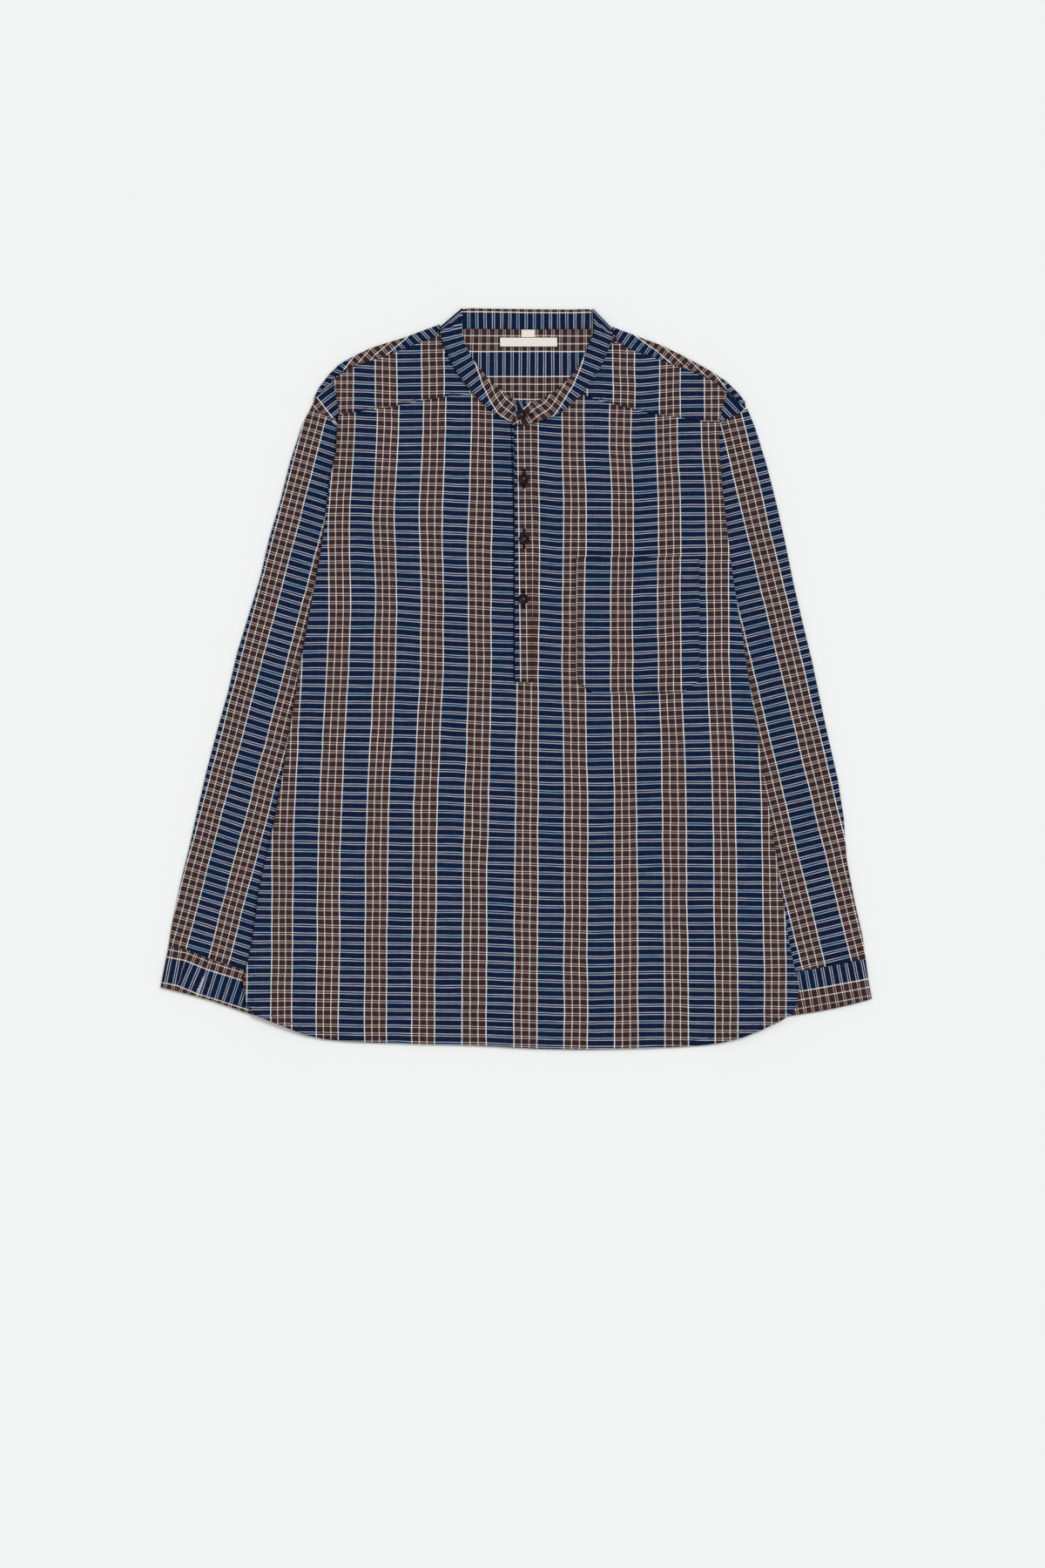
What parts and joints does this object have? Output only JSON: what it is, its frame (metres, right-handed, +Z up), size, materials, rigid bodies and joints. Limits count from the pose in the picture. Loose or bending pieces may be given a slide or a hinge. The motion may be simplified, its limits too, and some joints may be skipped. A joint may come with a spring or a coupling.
{
  "type": "yarn-dyed shirt",
  "caption": "Long-sleeved pullover shirt with a band collar, half placket and chest pocket, laid flat on its back.",
  "frame": {"origin": "middle of the laid shirt's outline, on the surface that it lies on", "axes": "+X to the right of the laid shirt seen from above, +Y from the hem to the collar, +Z up through the layers"},
  "size_m": [0.7594, 0.7908, 0.0089],
  "materials": {
    "check_cloth": "matte yarn-dyed plain weave cotton, indigo and brown columns with fine white, light blue and tan lines",
    "label_cloth": "matte woven off-white tape",
    "button": "satin dark plum-brown, four holes"
  },
  "bodies": {
    "root": {"back": "check_cloth", "back_yoke": "check_cloth", "front": "check_cloth", "front_yoke_left": "check_cloth", "front_yoke_right": "check_cloth", "sleeve_left": "check_cloth", "sleeve_right": "check_cloth", "cuff_left": "check_cloth", "cuff_right": "check_cloth", "collar_band": "check_cloth", "placket": "check_cloth", "pocket": "check_cloth", "neck_label": "label_cloth", "size_label": "label_cloth", "button_collar": "button", "button_1": "button", "button_2": "button", "button_3": "button"}
  },
  "joints": []
}
